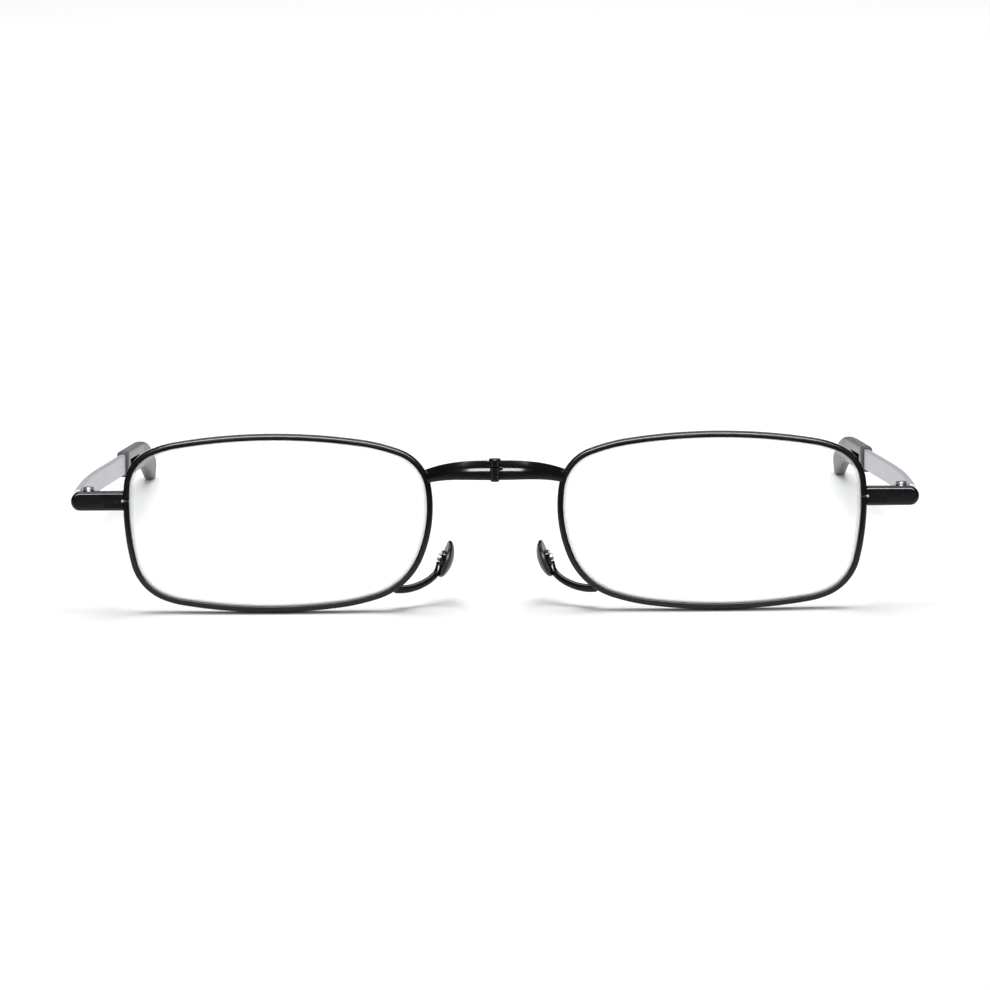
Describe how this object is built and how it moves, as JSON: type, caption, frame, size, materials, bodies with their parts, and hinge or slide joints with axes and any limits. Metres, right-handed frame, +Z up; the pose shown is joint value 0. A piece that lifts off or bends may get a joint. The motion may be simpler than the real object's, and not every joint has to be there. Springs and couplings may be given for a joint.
{
  "type": "folding reading glasses",
  "caption": "Metal reading glasses that fold at the bridge and at the temples, with flat temple bars that slide in grey sleeves with bent ear tips.",
  "frame": {"origin": "middle of the floor under the open glasses, between the front of the bridge and the ear tips", "axes": "+X towards the wearer's left, +Y from the lenses back to the ear tips, +Z up from the table, with the glasses leaned back 7.5 degrees as they stand"},
  "size_m": [0.1336, 0.0928, 0.0282],
  "materials": {
    "frame_paint": "gloss black enamel",
    "lens": "clear, polished",
    "dark_screw": "black oxide",
    "screw_steel": "turned steel",
    "pad_plastic": "gloss black",
    "temple_silver": "satin silver",
    "sleeve_paint": "satin dark grey",
    "bush_plastic": "matte black",
    "tip_plastic": "satin dark grey"
  },
  "bodies": {
    "front_right": {"rim_right": "frame_paint", "lens_right": "lens", "end_piece_right": "frame_paint", "rim_lock_block_right": "frame_paint", "rim_lock_screw_right": "dark_screw", "hinge_block_right": "frame_paint", "hinge_screw_right": "screw_steel", "bridge_right": "frame_paint", "pad_arm_right": "frame_paint", "nose_pad_right": "pad_plastic", "pad_screw_right": "screw_steel", "bridge_screw": "dark_screw", "bridge_nut": "frame_paint"},
    "temple_right": {"temple_bar_right": "temple_silver", "hinge_leaf_right": "temple_silver", "hinge_rivets_right": "screw_steel", "bar_stop_right": "screw_steel"},
    "sleeve_right": {"temple_sleeve_right": "sleeve_paint", "sleeve_bush_right": "bush_plastic", "temple_tip_right": "tip_plastic"},
    "front_left": {"rim_left": "frame_paint", "lens_left": "lens", "end_piece_left": "frame_paint", "rim_lock_block_left": "frame_paint", "rim_lock_screw_left": "dark_screw", "hinge_block_left": "frame_paint", "hinge_screw_left": "screw_steel", "bridge_left": "frame_paint", "pad_arm_left": "frame_paint", "nose_pad_left": "pad_plastic", "pad_screw_left": "screw_steel"},
    "temple_left": {"temple_bar_left": "temple_silver", "hinge_leaf_left": "temple_silver", "hinge_rivets_left": "screw_steel", "bar_stop_left": "screw_steel"},
    "sleeve_left": {"temple_sleeve_left": "sleeve_paint", "sleeve_bush_left": "bush_plastic", "temple_tip_left": "tip_plastic"}
  },
  "joints": [
    {"name": "bridge_fold", "type": "hinge", "parent": "front_right", "child": "front_left", "pos_m": [0, -0.04526, 0.02272], "axis": [0, -0.1372, -0.9905], "range_deg": [0, 180]},
    {"name": "temple_fold_right", "type": "hinge", "parent": "front_right", "child": "temple_right", "pos_m": [-0.0643, -0.03864, 0.017], "axis": [0, -0.1372, -0.9905], "range_deg": [0, 86]},
    {"name": "temple_slide_right", "type": "slide", "parent": "temple_right", "child": "sleeve_right", "axis": [-0.0872, -0.9868, 0.1366], "range_m": [0, 0.009]},
    {"name": "temple_fold_left", "type": "hinge", "parent": "front_left", "child": "temple_left", "pos_m": [0.0643, -0.03864, 0.017], "axis": [0, 0.1372, 0.9905], "range_deg": [0, 86]},
    {"name": "temple_slide_left", "type": "slide", "parent": "temple_left", "child": "sleeve_left", "axis": [0.0872, -0.9868, 0.1366], "range_m": [0, 0.009]}
  ]
}
